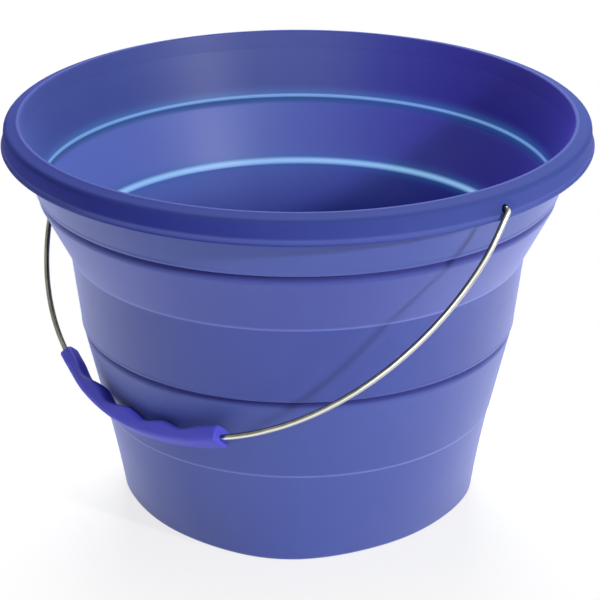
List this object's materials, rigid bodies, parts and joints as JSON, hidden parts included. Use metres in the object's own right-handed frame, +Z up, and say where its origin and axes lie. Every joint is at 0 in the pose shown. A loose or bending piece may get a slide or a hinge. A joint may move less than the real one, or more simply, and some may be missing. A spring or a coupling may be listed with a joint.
{
  "type": "collapsible bucket",
  "caption": "Round folding bucket whose stepped wall collapses into nested rings, with a down-turned rim, a rounded-square foot and a swinging wire bail with a finger grip.",
  "frame": {"origin": "centre of the foot on the ground, on the bucket's own axis", "axes": "+Z up along the bucket's axis, +X along the bail's pivot axis towards the right pivot, and the bail hangs on the -Y side"},
  "size_m": [0.3238, 0.31, 0.214],
  "materials": {
    "rim_plastic": "satin moulded plastic, deep blue",
    "body_plastic": "satin moulded plastic, violet blue",
    "soft_web": "matt soft elastomer, violet blue, slightly translucent where thin",
    "steel_wire": "bright drawn stainless wire",
    "grip_plastic": "satin moulded plastic, dark navy"
  },
  "bodies": {
    "base": {"base_cup": "body_plastic", "lower_fold_web": "soft_web"},
    "middle": {"middle_band": "body_plastic", "upper_fold_web": "soft_web"},
    "rim": {"rim_ring": "rim_plastic", "collar_band": "body_plastic"},
    "bail": {"bail_wire": "steel_wire", "handle_grip": "grip_plastic"}
  },
  "joints": [
    {"name": "lower_fold", "type": "slide", "parent": "base", "child": "middle", "axis": [0, 0, -1], "range_m": [0, 0.0954], "deforming": ["lower_fold_web"]},
    {"name": "upper_fold", "type": "slide", "parent": "middle", "child": "rim", "axis": [0, 0, -1], "range_m": [0, 0.0721], "deforming": ["upper_fold_web"]},
    {"name": "bail_swing", "type": "hinge", "parent": "rim", "child": "bail", "pos_m": [0, 0, 0.2055], "axis": [-1, 0, 0], "range_deg": [0, 277]}
  ]
}
